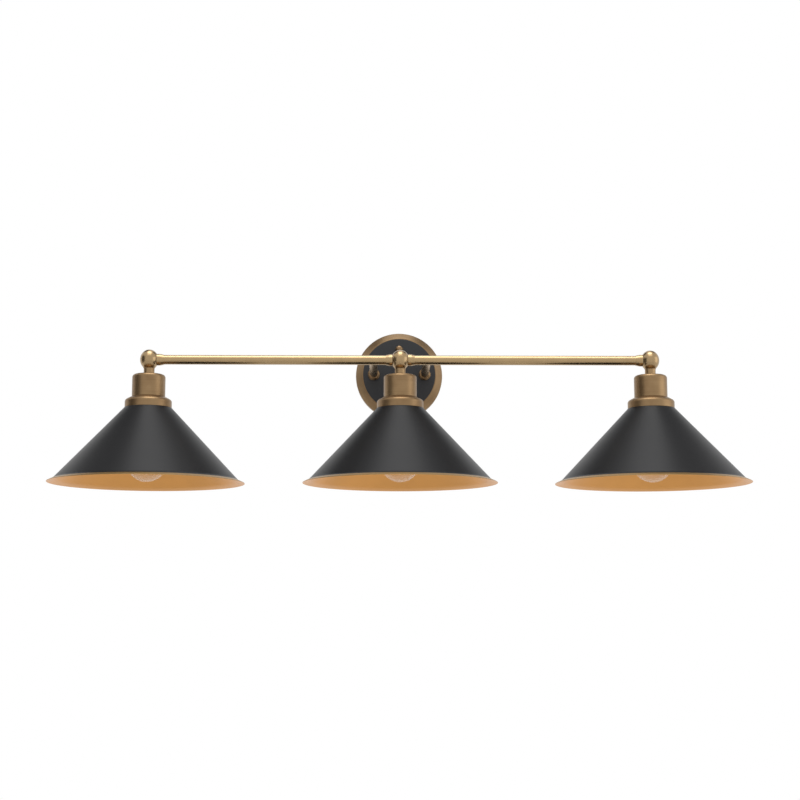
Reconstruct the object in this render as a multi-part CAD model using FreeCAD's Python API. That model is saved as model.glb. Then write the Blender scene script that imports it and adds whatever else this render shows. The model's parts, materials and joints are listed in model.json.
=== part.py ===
import FreeCAD, Part
import math
import os

# Wall sconce with three shaded lamps on one bar. All sizes are millimetres.
# The origin is on the wall in the middle of the canopy, +Z is up and the room is on the -Y side.
# Each head is made with the centre of its ball at the origin and its lamp pointing down, then moved
# to its place on the bar. Inside a head, depth is the distance below the centre of the ball.
Vector = FreeCAD.Vector

# Layout
lamp_spacing = 325.0
bar_reach = 140.0
fit_gap = 0.05
swivel_gap = 0.3
edge_rounding = 1.0

# Bar, its arms and ferrules
bar_r = 6.2
bar_wall = 1.0
bar_end_gap = 0.1
arm_r = 5.35
arm_wall = 1.0
arm_offset = 35.0
arm_thread_end = 2.0
flange_step = 2.75
flange_length = 6.0
flange_rounding = 1.5
arm_nut_width = 15.0
arm_nut_thick = 4.0
ferrule_step = 1.4
ferrule_side = 2.0
ferrule_length = 7.0
ferrule_lip = 0.3
ferrule_rounding = 15.0

# Crossbar and the canopy that hides it
stud_spacing = 70.0
stud_r = 2.05
slot_step = 9.45
slot_length = 10.0
slot_r = 2.4
crossbar_end = 3.05
crossbar_width = 20.0
crossbar_thick = 2.0
canopy_room = 7.2
canopy_side = 10.0
canopy_bevel = 9.0
canopy_bevel_rise = 11.6
canopy_wall = 1.2
canopy_rounding = 1.0
disc_thick = 1.5
disc_margin = 1.0
disc_rounding = 0.5
cap_nut_r = 5.2
cap_nut_side = 4.0
cap_nut_dome = 4.5
cap_nut_bore = 6.0
ground_screw_height = 20.0
ground_screw_r = 2.4
ground_head_r = 4.5
ground_head_thick = 2.5

# Ball knuckle, a little narrower along the bar, and the hollow pivots that carry it
ball_r = 13.3
ball_half_width = 11.9
pivot_wall = 1.05
pivot_grip = 8.0
pivot_lip_start = 3.3
pivot_lip_thick = 1.0
pivot_lip_step = 0.95

# Neck and socket cup
neck_r = 6.9
neck_length = 8.8
neck_thread_r = 5.0
neck_bore_r = 3.0
neck_top_thread = 3.5
neck_low_thread = 9.0
lock_nut_width = 14.0
lock_nut_thick = 4.0
cup_room = 3.0
cup_wall = 1.2
cup_height = 28.8
cup_rounding = 4.0

# Collar and shade
collar_step = 8.75
collar_slope = 4.85
collar_side = 9.6
collar_rounding = 4.2
collar_wall = 1.2
collar_overhang = 0.05
ledge_gap = 0.6
shade_r = 125.0
shade_height = 96.7
shade_wall = 0.8
shade_rounding = 1.5
lip_width = 8.5
lip_angle = 25.0
lip_rounding = 12.0

# Lamp socket
socket_wall = 3.3
socket_length = 54.3
socket_top_wall = 3.5
terminal_space = 19.3
terminal_wall = 5.0
web_thick = 4.5
contact_r = 5.0
contact_thick = 0.7
rivet_r = 1.5
shade_ring_step = 7.0
shade_ring_thick = 6.0

# Bulb and its screw base
thread_r = 12.62
thread_swing = 0.75
thread_pitch = 3.63
thread_count = 5
thread_rounding = 0.9
base_sheet = 0.35
thread_gap = 0.15
tip_gap = 0.3
tip_r = 4.0
tip_thick = 0.7
insulator_r = 9.5
insulator_slope = 1.1
insulator_thick = 1.1
base_shoulder = 2.0
skirt_length = 4.85
bulb_grip = 4.0
bulb_neck = 3.75
bulb_neck_gap = 0.1
bulb_waist_r = 60.0
bulb_r = 27.0
bulb_wall = 0.8
stem_r = 3.2
stem_flare = 12.0
stem_length = 28.0
stem_press = 10.0
filament_r = 0.35
filament_bend = 1.5
filament_lead = 4.0
filament_drop = 20.0
filament_loop = 18.0
filament_spread = 5.0

# Leads
lead_r = 0.9
lead_pair_gap = 1.0
lead_side_gap = 0.4
lead_bend = 5.0
lead_turn = 2.5
lead_wall_gap = 4.0
lead_layer = 2.5
connector_depth = 20.0
connector_length = 18.0
connector_mouth_r = 6.5
connector_tip_r = 4.0
connector_recess_r = 4.8
connector_recess = 8.0

# Places along the bar, measured from a ball's centre
bar_start = ball_half_width + swivel_gap + bar_end_gap
bar_bore_r = bar_r - bar_wall
arm_bore_r = arm_r - arm_wall
pivot_r = bar_bore_r - fit_gap
pivot_bore_r = pivot_r - pivot_wall
lip_r = pivot_r + pivot_lip_step
lip_end = pivot_lip_start + pivot_lip_thick
cavity_half = lip_end + swivel_gap
cavity_r = lip_r + swivel_gap
ferrule_r = bar_r + ferrule_step
ferrule_end = ball_half_width + ferrule_length

# Depths below a ball's centre
neck_top = ball_r * math.sqrt(1 - (neck_r / ball_half_width) ** 2)
cup_top = neck_top + neck_length
nut_top = cup_top + cup_wall
socket_top = nut_top + lock_nut_thick
cup_bottom = cup_top + cup_height
shade_top = cup_bottom + collar_slope + collar_side
rim_depth = shade_top + shade_height
socket_bottom = socket_top + socket_length
terminal_top = socket_top + socket_top_wall
web_top = terminal_top + terminal_space
web_bottom = web_top + web_thick
contact_bottom = web_bottom + contact_thick
tip_top = contact_bottom + tip_gap
insulator_top = tip_top + tip_thick
base_top = insulator_top + insulator_thick
thread_top = base_top + base_shoulder
thread_bottom = thread_top + thread_count * thread_pitch
base_bottom = thread_bottom + skirt_length
neck_start = base_bottom - bulb_grip
stem_end = neck_start + stem_length

# Radii of a head, from the screw base outwards
socket_bore_r = thread_r + thread_swing + base_sheet + fit_gap
socket_r = socket_bore_r + socket_wall
cup_r = socket_r + cup_room + cup_wall
collar_r = cup_r + collar_step
shade_top_r = collar_r - collar_overhang
skirt_r = thread_r + thread_swing - base_sheet
bulb_neck_r = skirt_r - base_sheet - bulb_neck_gap
stem_flare_r = bulb_neck_r - bulb_wall - fit_gap
stem_bore_r = stem_r - bulb_wall

# Canopy, from the wall outwards
box_screw_spacing = stud_spacing + 2 * slot_step
crossbar_length = box_screw_spacing + slot_length + 2 * crossbar_end
canopy_r = crossbar_length / 2 + canopy_room
canopy_front = canopy_side + canopy_bevel_rise
disc_r = canopy_r - canopy_bevel - disc_margin
disc_front = canopy_front + disc_thick
arm_nut_front = canopy_front - canopy_wall
arm_rear = arm_nut_front - arm_nut_thick - arm_thread_end


def corner_arc(before, corner, after, radius):
    """Start, middle and end of the arc that rounds a corner."""
    to_before = (before - corner).normalize()
    to_after = (after - corner).normalize()
    half = to_before.getAngle(to_after) / 2
    reach = radius / math.tan(half)
    inward = (to_before + to_after).normalize()
    middle = corner + inward * (radius / math.sin(half) - radius)
    return corner + to_before * reach, middle, corner + to_after * reach


def path_edges(corners, closed):
    """Straight edges between corners of (point, radius), with an arc at each corner that has a radius."""
    count = len(corners)
    stops = []
    for index, (point, radius) in enumerate(corners):
        at_end = not closed and index in (0, count - 1)
        if radius and not at_end:
            before = corners[index - 1][0]
            after = corners[(index + 1) % count][0]
            stops.append(corner_arc(before, point, after, radius))
        else:
            stops.append((point, None, point))
    edges = []
    for index, (arrive, middle, leave) in enumerate(stops):
        if middle is not None:
            edges.append(Part.Arc(arrive, middle, leave).toShape())
        if closed or index < count - 1:
            edges.append(Part.LineSegment(leave, stops[(index + 1) % count][0]).toShape())
    return edges


def turned(corners):
    """Solid turned about Z from a closed outline of (radius, height) or (radius, height, rounding)."""
    placed = []
    for corner in corners:
        rounding = corner[2] if len(corner) > 2 else 0
        placed.append((Vector(corner[0], 0, corner[1]), rounding))
    face = Part.Face(Part.Wire(path_edges(placed, True)))
    return face.revolve(Vector(0, 0, 0), Vector(0, 0, 1), 360)


def turned_down(corners):
    """The same for an outline of (radius, depth)."""
    return turned([(corner[0], -corner[1]) + tuple(corner[2:]) for corner in corners])


def offset_line(line, distance):
    """An open line of (x, y, rounding) moved to its left by a distance."""
    moved = []
    for index, corner in enumerate(line):
        before = line[max(index - 1, 0)]
        after = line[min(index + 1, len(line) - 1)]
        arriving = Vector(corner[0] - before[0], corner[1] - before[1], 0)
        leaving = Vector(after[0] - corner[0], after[1] - corner[1], 0)
        if index == 0:
            arriving = leaving
        if index == len(line) - 1:
            leaving = arriving
        arriving = Vector(arriving).normalize()
        leaving = Vector(leaving).normalize()
        normal_in = Vector(-arriving.y, arriving.x, 0)
        normal_out = Vector(-leaving.y, leaving.x, 0)
        shift = (normal_in + normal_out) * (distance / (1 + normal_in.dot(normal_out)))
        turn = arriving.x * leaving.y - arriving.y * leaving.x
        rounding = corner[2] if len(corner) > 2 else 0
        if rounding:
            rounding -= distance * math.copysign(1, turn)
        moved.append((corner[0] + shift.x, corner[1] + shift.y, rounding))
    return moved


def strip(line, start, end):
    """Closed outline between two offsets of an open line."""
    return offset_line(line, start) + offset_line(line, end)[::-1]


def rod(radius, start, end):
    """Round rod along Z."""
    return Part.makeCylinder(radius, end - start, Vector(0, 0, start))


def pipe(radius, bore_radius, start, end):
    """Round tube along Z."""
    return rod(radius, start, end).cut(rod(bore_radius, start, end))


def hex_nut(width, bore_radius, start, end):
    """Hexagon nut along Z, width across its flats."""
    corner_r = width / math.sqrt(3)
    corners = []
    for side in range(7):
        angle = math.radians(60 * side)
        corners.append(Vector(corner_r * math.cos(angle), corner_r * math.sin(angle), start))
    blank = Part.Face(Part.makePolygon(corners)).extrude(Vector(0, 0, end - start))
    return blank.cut(rod(bore_radius, start, end))


def to_room(shape):
    """Turn a shape made along +Z to point from the wall into the room."""
    shape.rotate(Vector(0, 0, 0), Vector(1, 0, 0), 90)
    return shape


def to_side(shape, side):
    """Turn a shape made along +Z to point along the bar, to the right for 1 and to the left for -1."""
    shape.rotate(Vector(0, 0, 0), Vector(0, 1, 0), 90 * side)
    return shape


def moved(shape, x, y, z):
    """A shape shifted to its place."""
    shape.translate(Vector(x, y, z))
    return shape


def cable(radius, corners):
    """Round wire along corners of (x, y, z, bend radius)."""
    placed = [(Vector(*corner[:3]), corner[3]) for corner in corners]
    path = Part.Wire(path_edges(placed, False))
    start = placed[0][0]
    ring = Part.Wire(Part.makeCircle(radius, start, placed[1][0] - start))
    return path.makePipeShell([ring], True, False)


def save(node, *solids):
    """Write one sub-part, a group when it has several solids."""
    shape = solids[0] if len(solids) == 1 else Part.Compound(list(solids))
    shape.exportStep("parts/" + node + ".step")


def canopy_holes(start, end):
    """Cutters for the arms and studs that pass through the front of the canopy."""
    cutters = []
    for side in (-1, 1):
        cutters.append(moved(to_room(rod(arm_r + fit_gap, start, end)), side * arm_offset, 0, 0))
        cutters.append(moved(to_room(rod(stud_r + fit_gap, start, end)), 0, 0, side * stud_spacing / 2))
    return cutters


def canopy_pan():
    """Brass pan with a bevelled edge, open towards the wall."""
    line = [
        (0, canopy_front),
        (canopy_r - canopy_bevel, canopy_front),
        (canopy_r, canopy_side, canopy_rounding),
        (canopy_r, 0),
    ]
    inside = offset_line(line, -canopy_wall)
    inside[2] = inside[2][:2] + (0,)
    pan = to_room(turned(line + inside[::-1]))
    return pan.cut(canopy_holes(0, canopy_front))


def face_disc():
    """Black disc on the front of the pan."""
    disc = to_room(turned([
        (0, canopy_front),
        (disc_r, canopy_front),
        (disc_r, disc_front, disc_rounding),
        (0, disc_front),
    ]))
    return disc.cut(canopy_holes(canopy_front, disc_front))


def slot_cutter(height):
    """Upright slot through the crossbar for a wall box screw."""
    half = slot_length / 2 - slot_r
    ends = [moved(to_room(rod(slot_r, 0, crossbar_thick)), 0, 0, height + way * half) for way in (-1, 1)]
    middle = Part.makeBox(2 * slot_r, crossbar_thick, 2 * half, Vector(-slot_r, -crossbar_thick, height - half))
    return middle.fuse(ends)


def crossbar():
    """Steel strap that screws to the wall box and holds the canopy studs."""
    strap = Part.makeBox(
        crossbar_width,
        crossbar_thick,
        crossbar_length,
        Vector(-crossbar_width / 2, -crossbar_thick, -crossbar_length / 2),
    )
    cutters = [moved(to_room(rod(ground_screw_r + fit_gap, 0, crossbar_thick)), 0, 0, ground_screw_height)]
    for side in (-1, 1):
        stud_height = side * stud_spacing / 2
        cutters.append(moved(to_room(rod(stud_r + fit_gap, 0, crossbar_thick)), 0, 0, stud_height))
        cutters.append(slot_cutter(side * box_screw_spacing / 2))
    return strap.cut(cutters)


def canopy_stud(height):
    """Threaded stud from the crossbar into a cap nut."""
    return moved(to_room(rod(stud_r, 0, disc_front + cap_nut_bore - swivel_gap)), 0, 0, height)


def cap_nut(height):
    """Domed nut that holds the canopy on its stud."""
    full = cap_nut_side + cap_nut_dome
    nut = turned([
        (stud_r + fit_gap, 0),
        (cap_nut_r, 0),
        (cap_nut_r, full, cap_nut_dome),
        (0, full),
        (0, cap_nut_bore),
        (stud_r + fit_gap, cap_nut_bore),
    ])
    return moved(to_room(nut), 0, -disc_front, height)


def ground_screw():
    """Screw on the crossbar for the earth wire."""
    screw = turned([
        (0, 0),
        (ground_screw_r, 0),
        (ground_screw_r, crossbar_thick),
        (ground_head_r, crossbar_thick),
        (ground_head_r, crossbar_thick + ground_head_thick, ground_head_thick / 2),
        (0, crossbar_thick + ground_head_thick),
    ])
    return moved(to_room(screw), 0, 0, ground_screw_height)


def bar_blank(radius):
    """Rod over the whole length of the bar, used as a cutter."""
    blank = to_side(rod(radius, -lamp_spacing, lamp_spacing), 1)
    return moved(blank, 0, -bar_reach, 0)


def arm(side):
    """Hollow arm from inside the canopy to the back of the bar, its end shaped to the bar."""
    tube = to_room(pipe(arm_r, arm_bore_r, arm_rear, bar_reach))
    return moved(tube, side * arm_offset, 0, 0).cut(bar_blank(bar_r))


def arm_flange(side):
    """Small collar round the arm where it meets the canopy."""
    full = disc_front + flange_length
    ring = turned([
        (arm_r + fit_gap, disc_front),
        (arm_r + flange_step, disc_front),
        (arm_r + flange_step, full, flange_rounding),
        (arm_r + fit_gap, full),
    ])
    return moved(to_room(ring), side * arm_offset, 0, 0)


def arm_nut(side):
    """Nut that clamps the arm to the canopy from inside."""
    nut = hex_nut(arm_nut_width, arm_r + fit_gap, arm_nut_front - arm_nut_thick, arm_nut_front)
    return moved(to_room(nut), side * arm_offset, 0, 0)


def bar_half(side):
    """Tube from the middle ball to an end ball, with the hole where the arm's leads come in."""
    tube = to_side(pipe(bar_r, bar_bore_r, bar_start, lamp_spacing - bar_start), side)
    hole = moved(to_room(rod(arm_bore_r, 0, bar_reach)), side * arm_offset, 0, 0)
    return moved(tube, 0, -bar_reach, 0).cut(hole)


def beside_ball(shape, ball_x, side):
    """Place a shape made along +Z from a ball's centre onto the bar beside that ball."""
    return moved(to_side(shape, side), ball_x, -bar_reach, 0)


def knuckle(step):
    """Body turned about the bar's line: the ball for a step of zero, or a cutter that much larger."""
    top = Vector(0, 0, ball_r + step)
    end = Vector(ball_half_width + step, 0, 0)
    ellipse = Part.Ellipse(top, end, Vector(0, 0, 0))
    outline = Part.ArcOfEllipse(ellipse, -math.pi / 2, math.pi / 2).toBSpline().toShape()
    start, finish = [vertex.Point for vertex in outline.Vertexes]
    face = Part.Face(Part.Wire([outline, Part.LineSegment(finish, start).toShape()]))
    return face.revolve(Vector(0, 0, 0), Vector(1, 0, 0), 360)


def ferrule():
    """Bell on the end of the bar with a hollow seat for the ball, made along +Z."""
    bell = turned([
        (bar_r + fit_gap, 0),
        (ferrule_r, 0),
        (ferrule_r, ball_half_width + ferrule_side, ferrule_rounding),
        (bar_r + ferrule_lip, ferrule_end),
        (bar_r + fit_gap, ferrule_end),
    ])
    return bell.cut(to_side(knuckle(swivel_gap), 1))


def pivot_nipple():
    """Hollow pivot, pressed into the bar and flared inside the ball."""
    return turned([
        (pivot_bore_r, pivot_lip_start),
        (lip_r, pivot_lip_start),
        (lip_r, lip_end),
        (pivot_r, lip_end),
        (pivot_r, bar_start + pivot_grip),
        (pivot_bore_r, bar_start + pivot_grip),
    ])


def ball(bar_sides):
    """Ball knuckle, bored for a pivot on each side that the bar comes from, and flat under the neck."""
    cutters = [
        to_side(rod(cavity_r, -cavity_half, cavity_half), 1),
        rod(neck_thread_r + fit_gap, -ball_r, -pivot_lip_start),
        rod(neck_r + fit_gap, -ball_r, -neck_top),
    ]
    for side in bar_sides:
        cutters.append(to_side(rod(pivot_r + fit_gap, pivot_lip_start, ball_r), side))
    return knuckle(0).cut(cutters)


def neck():
    """Turned neck with a thread at each end."""
    return turned_down([
        (neck_bore_r, neck_top - neck_top_thread),
        (neck_thread_r, neck_top - neck_top_thread),
        (neck_thread_r, neck_top),
        (neck_r, neck_top),
        (neck_r, cup_top),
        (neck_thread_r, cup_top),
        (neck_thread_r, cup_top + neck_low_thread),
        (neck_bore_r, cup_top + neck_low_thread),
    ])


def lock_nut():
    """Nut on the neck's lower thread, inside the cup."""
    return hex_nut(lock_nut_width, neck_thread_r + fit_gap, -socket_top, -nut_top)


def cup():
    """Spun brass cup over the top of the lamp socket."""
    line = [(neck_thread_r + fit_gap, cup_top), (cup_r, cup_top, cup_rounding), (cup_r, cup_bottom)]
    return turned_down(strip(line, 0, cup_wall))


def collar():
    """Spun brass collar between the cup and the shade."""
    line = [
        (socket_r + ledge_gap, cup_bottom),
        (cup_r, cup_bottom),
        (collar_r, cup_bottom + collar_slope, collar_rounding),
        (collar_r, shade_top),
    ]
    return turned_down(strip(line, 0, collar_wall))


def shade():
    """Spun steel cone with a flat top round the socket and a flared lip."""
    lean = math.radians(lip_angle)
    lip_start_r = shade_r - lip_width * math.cos(lean)
    lip_start = rim_depth - lip_width * math.sin(lean)
    line = [
        (socket_r + ledge_gap, shade_top),
        (shade_top_r, shade_top, shade_rounding),
        (lip_start_r, lip_start, lip_rounding),
        (shade_r, rim_depth),
    ]
    return turned_down(strip(line, 0, shade_wall))


def socket_body():
    """Moulded lamp socket with a terminal space above its contact web."""
    return turned_down([
        (neck_thread_r + fit_gap, socket_top),
        (socket_r, socket_top, edge_rounding),
        (socket_r, socket_bottom),
        (socket_bore_r, socket_bottom),
        (socket_bore_r, web_bottom),
        (rivet_r + fit_gap, web_bottom),
        (rivet_r + fit_gap, web_top),
        (socket_r - terminal_wall, web_top),
        (socket_r - terminal_wall, terminal_top),
        (neck_thread_r + fit_gap, terminal_top),
    ])


def thread_line():
    """Wavy side line of the screw base, from its first thread to its last."""
    line = []
    for turn in range(thread_count):
        crest = thread_top + (turn + 0.25) * thread_pitch
        line.append((thread_r + thread_swing, crest, thread_rounding))
        line.append((thread_r - thread_swing, crest + thread_pitch / 2, thread_rounding))
    return line


def socket_shell():
    """Threaded sheet lining of the socket."""
    line = [(thread_r, thread_top)] + thread_line()[:-1] + [(thread_r, thread_bottom - thread_pitch / 2)]
    return turned_down(strip(line, -thread_gap, -thread_gap - base_sheet))


def socket_contact():
    """Centre contact with its rivet through the web."""
    return turned_down([
        (0, web_top - contact_thick),
        (rivet_r, web_top - contact_thick),
        (rivet_r, web_bottom),
        (contact_r, web_bottom),
        (contact_r, contact_bottom),
        (0, contact_bottom),
    ])


def shade_ring():
    """Ring screwed up the socket to hold the shade against the collar."""
    ring_top = shade_top + shade_wall
    return turned_down([
        (socket_r + fit_gap, ring_top),
        (socket_r + shade_ring_step, ring_top),
        (socket_r + shade_ring_step, ring_top + shade_ring_thick, edge_rounding),
        (socket_r + fit_gap, ring_top + shade_ring_thick),
    ])


def socket_leads():
    """Two leads from the ball's hollow through the neck to the terminals."""
    lead_x = neck_bore_r - lead_r - lead_side_gap
    lead_end = web_top - contact_thick - fit_gap
    return [moved(rod(lead_r, -lead_end, -pivot_lip_start), side * lead_x, 0, 0) for side in (-1, 1)]


def bulb_outline(inset):
    """Edges of the bulb's side from its neck down to its tip, moved inwards by an inset."""
    span = bulb_waist_r + bulb_r
    drop = math.sqrt(span ** 2 - (bulb_neck_r + bulb_waist_r) ** 2)
    waist_start = base_bottom + bulb_neck
    centre = waist_start + drop
    lean = math.atan2(drop, bulb_neck_r + bulb_waist_r)

    def around(middle_r, middle_depth, radius, angle):
        return Vector(middle_r + radius * math.cos(angle), 0, -(middle_depth - radius * math.sin(angle)))

    waist_radius = bulb_waist_r + inset
    waist_centre_r = bulb_neck_r + bulb_waist_r
    globe = bulb_r - inset
    neck_line = Part.LineSegment(
        Vector(bulb_neck_r - inset, 0, -neck_start),
        Vector(bulb_neck_r - inset, 0, -waist_start),
    )
    waist = Part.Arc(
        around(waist_centre_r, waist_start, waist_radius, math.pi),
        around(waist_centre_r, waist_start, waist_radius, math.pi + lean / 2),
        around(waist_centre_r, waist_start, waist_radius, math.pi + lean),
    )
    globe_side = Part.Arc(
        around(0, centre, globe, lean),
        around(0, centre, globe, lean / 2 - math.pi / 4),
        around(0, centre, globe, -math.pi / 2),
    )
    return [neck_line.toShape(), waist.toShape(), globe_side.toShape()]


def bulb_glass():
    """Glass of the bulb, a thin shell open at its neck."""
    outer = bulb_outline(0)
    inner = bulb_outline(bulb_wall)
    neck_edge = Part.LineSegment(inner[0].Vertexes[0].Point, outer[0].Vertexes[0].Point).toShape()
    tip_edge = Part.LineSegment(outer[2].Vertexes[-1].Point, inner[2].Vertexes[-1].Point).toShape()
    wire = Part.Wire([neck_edge] + outer + [tip_edge] + inner[::-1])
    return Part.Face(wire).revolve(Vector(0, 0, 0), Vector(0, 0, 1), 360)


def bulb_stem():
    """Glass stem that flares out to the neck of the bulb, and the filament wire that hangs from it."""
    stem = turned_down([
        (stem_flare_r, neck_start),
        (stem_flare_r, neck_start + bulb_wall),
        (stem_r, neck_start + stem_flare),
        (stem_r, stem_end, edge_rounding),
        (0, stem_end),
        (0, stem_end - stem_press),
        (stem_bore_r, stem_end - stem_press),
        (stem_bore_r, neck_start + stem_flare - bulb_wall),
        (stem_flare_r - bulb_wall, neck_start),
    ])
    lead_x = stem_r / 2
    line = [(-lead_x, 0), (-lead_x, filament_lead)]
    for place in (-2, -1, 0, 1, 2):
        low = filament_drop + filament_loop * (place % 2)
        line.append((place * filament_spread, low))
    line += [(lead_x, filament_lead), (lead_x, 0)]
    filament = cable(filament_r, [(x, 0, -stem_end - drop, filament_bend) for x, drop in line])
    return [stem, filament]


def bulb_base():
    """Screw base of the bulb: threaded shell, insulator and solder tip."""
    line = [(insulator_r, base_top), (thread_r - thread_swing, base_top + base_shoulder / 2)]
    line += thread_line()
    line += [(skirt_r, thread_bottom), (skirt_r, base_bottom)]
    shell = turned_down(strip(line, 0, base_sheet))
    insulator = turned_down([
        (0, insulator_top),
        (tip_r + insulator_slope, insulator_top),
        (insulator_r, base_top),
        (0, base_top),
    ])
    tip = turned_down([(0, tip_top), (tip_r, tip_top, tip_thick / 2), (tip_r, insulator_top), (0, insulator_top)])
    return [shell, insulator, tip]


def lead_pairs():
    """Leads from each ball through bar, arm and canopy to the two connectors, as pairs by lamp."""
    high = pivot_bore_r - lead_r - lead_side_gap
    aside = lead_r + lead_side_gap / 2
    back_layer = crossbar_thick + lead_wall_gap
    middle_layer = back_layer + lead_layer
    front_layer = middle_layer + lead_layer + lead_pair_gap
    end_depth = connector_depth + connector_recess
    pair_step = 2 * aside

    def lead(ball_x, arm_side, shift, height, layer, connector_x):
        arm_x = arm_side * arm_offset + shift
        near_ball = math.copysign(pivot_lip_start, arm_x - ball_x)
        corners = [
            (ball_x + near_ball, -bar_reach, height, 0),
            (arm_x, -bar_reach, height, lead_bend),
            (arm_x, -layer, height, lead_turn),
        ]
        if abs(connector_x - arm_x) > pair_step:
            corners.append((connector_x, -layer, height, lead_turn))
        corners.append((corners[-1][0], -layer, -end_depth, 0))
        return cable(lead_r, corners)

    return {
        "left_lamp_leads": [
            lead(-lamp_spacing, -1, -aside, -high, front_layer, -arm_offset),
            lead(-lamp_spacing, -1, -aside, high, back_layer, arm_offset - pair_step),
        ],
        "centre_lamp_leads": [
            lead(0, -1, aside, -high, front_layer, -arm_offset),
            lead(0, -1, aside, high, middle_layer, arm_offset - pair_step),
        ],
        "right_lamp_leads": [
            lead(lamp_spacing, 1, 0, -high, front_layer, arm_offset),
            lead(lamp_spacing, 1, 0, high, front_layer, -arm_offset + aside + pair_step),
        ],
    }


def wire_connector(side):
    """Screw-on connector over the ends of three leads, hanging in the canopy."""
    back_layer = crossbar_thick + lead_wall_gap
    front_layer = back_layer + 2 * lead_layer + lead_pair_gap
    cone = turned_down([
        (connector_recess_r, connector_depth),
        (connector_mouth_r, connector_depth),
        (connector_tip_r, connector_depth + connector_length, edge_rounding),
        (0, connector_depth + connector_length),
        (0, connector_depth + connector_recess),
        (connector_recess_r, connector_depth + connector_recess),
    ])
    middle = front_layer if side < 0 else (front_layer + back_layer) / 2
    return moved(cone, side * (arm_offset - lead_r - lead_side_gap / 2), -middle, 0)


os.makedirs("parts", exist_ok=True)

# Wall frame
save("canopy_pan", canopy_pan())
save("face_disc", face_disc())
save("crossbar", crossbar())
save("canopy_studs", canopy_stud(stud_spacing / 2), canopy_stud(-stud_spacing / 2))
save("cap_nuts", cap_nut(stud_spacing / 2), cap_nut(-stud_spacing / 2))
save("ground_screw", ground_screw())
save("arm_nuts", arm_nut(-1), arm_nut(1))
save("arm_flanges", arm_flange(-1), arm_flange(1))
save("wire_connectors", wire_connector(-1), wire_connector(1))
for name, side in (("left", -1), ("right", 1)):
    save(name + "_arm", arm(side))
    save(name + "_bar", bar_half(side))
for name, leads in lead_pairs().items():
    save(name, *leads)

# Ferrules and pivots, beside each end of the two bar halves
bar_ends = [(-lamp_spacing, 1), (0, -1), (0, 1), (lamp_spacing, -1)]
save("ferrules", *[beside_ball(ferrule(), ball_x, side) for ball_x, side in bar_ends])
save("pivot_nipples", *[beside_ball(pivot_nipple(), ball_x, side) for ball_x, side in bar_ends])

# Heads
for name, head_x in (("left", -lamp_spacing), ("centre", 0), ("right", lamp_spacing)):
    bar_sides = [side for ball_x, side in bar_ends if ball_x == head_x]
    pieces = {
        "ball": [ball(bar_sides)],
        "neck": [neck()],
        "lock_nut": [lock_nut()],
        "cup": [cup()],
        "collar": [collar()],
        "shade": [shade()],
        "socket_body": [socket_body()],
        "socket_shell": [socket_shell()],
        "socket_contact": [socket_contact()],
        "shade_ring": [shade_ring()],
        "socket_leads": socket_leads(),
        "bulb_glass": [bulb_glass()],
        "bulb_stem": bulb_stem(),
        "bulb_base": bulb_base(),
    }
    for piece, solids in pieces.items():
        save(name + "_" + piece, *[moved(solid, head_x, -bar_reach, 0) for solid in solids])
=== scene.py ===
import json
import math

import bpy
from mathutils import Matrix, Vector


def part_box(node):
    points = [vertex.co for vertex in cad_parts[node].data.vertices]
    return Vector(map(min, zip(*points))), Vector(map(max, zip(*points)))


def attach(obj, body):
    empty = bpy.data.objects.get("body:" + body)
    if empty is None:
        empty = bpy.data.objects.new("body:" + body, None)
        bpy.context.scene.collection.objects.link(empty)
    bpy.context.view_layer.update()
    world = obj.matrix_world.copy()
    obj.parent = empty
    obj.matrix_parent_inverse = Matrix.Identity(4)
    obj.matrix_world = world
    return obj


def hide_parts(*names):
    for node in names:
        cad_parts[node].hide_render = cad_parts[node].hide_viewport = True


bl_info = {
    "name": "Wall Sconce Finisher",
    "version": (1, 0, 0),
    "blender": (4, 5, 0),
    "location": "View3D > Sidebar > Sconce",
    "description": "Models and finishes the pieces of a bar sconce with cone shades round its packed frame",
    "category": "Object",
}

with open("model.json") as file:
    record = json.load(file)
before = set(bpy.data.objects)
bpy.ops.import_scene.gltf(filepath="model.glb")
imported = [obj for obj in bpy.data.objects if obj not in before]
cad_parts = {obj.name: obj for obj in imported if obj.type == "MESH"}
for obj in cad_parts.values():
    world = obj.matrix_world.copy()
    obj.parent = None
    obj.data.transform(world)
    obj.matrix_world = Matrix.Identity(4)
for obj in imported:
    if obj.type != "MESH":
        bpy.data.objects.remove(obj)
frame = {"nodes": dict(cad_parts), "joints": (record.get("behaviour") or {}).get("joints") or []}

# The frame gives every place: each head hangs from the pivot of its own tilt joint.
HEADS = ("left", "centre", "right")
PIVOTS = {joint["child"]: Vector(joint["pos_m"]) for joint in frame["joints"]}
WALL_BODY = "wall_frame"
DOWN = Vector((0, 0, -1))
ROOM = Vector((0, -1, 0))
ALONG = Vector((1, 0, 0))
UP = Vector((0, 0, 1))

# How many flat sides a turned piece has round its axis.
NUT_SIDES = 48
TUBE_SIDES = 64
BALL_SIDES = 88
CUP_SIDES = 96
PLATE_SIDES = 128
SHADE_SIDES = 160
# A shade ring has a grip rib on every fourth side.
RIB_SPACING = 4
# Edges flatter than this are shaded smooth.
SMOOTH_ANGLE = math.radians(35)
# Vertices closer than this, in metres, are one.
MERGE_DISTANCE = 1e-6
# Turning marks in each metre of spun brass: fine rings, and the wider lines between them.
RINGS_PER_METRE = 5200
LINES_PER_METRE = 1900
# Painted light: a neck's brass is this much lighter than a cup's, standing in for the brighter light on the
# neck.
NECK_PAINTED_LIGHT = 1.15


def length(name, description, default):
    """A size in metres that a user may change."""
    return bpy.props.FloatProperty(
        name=name, description=description, default=default, unit="LENGTH", precision=5
    )


def portion(name, description, default):
    """A part of another size, from 0 to 1, that a user may change."""
    return bpy.props.FloatProperty(
        name=name, description=description, default=default, min=0, max=1, subtype="FACTOR"
    )


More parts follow.
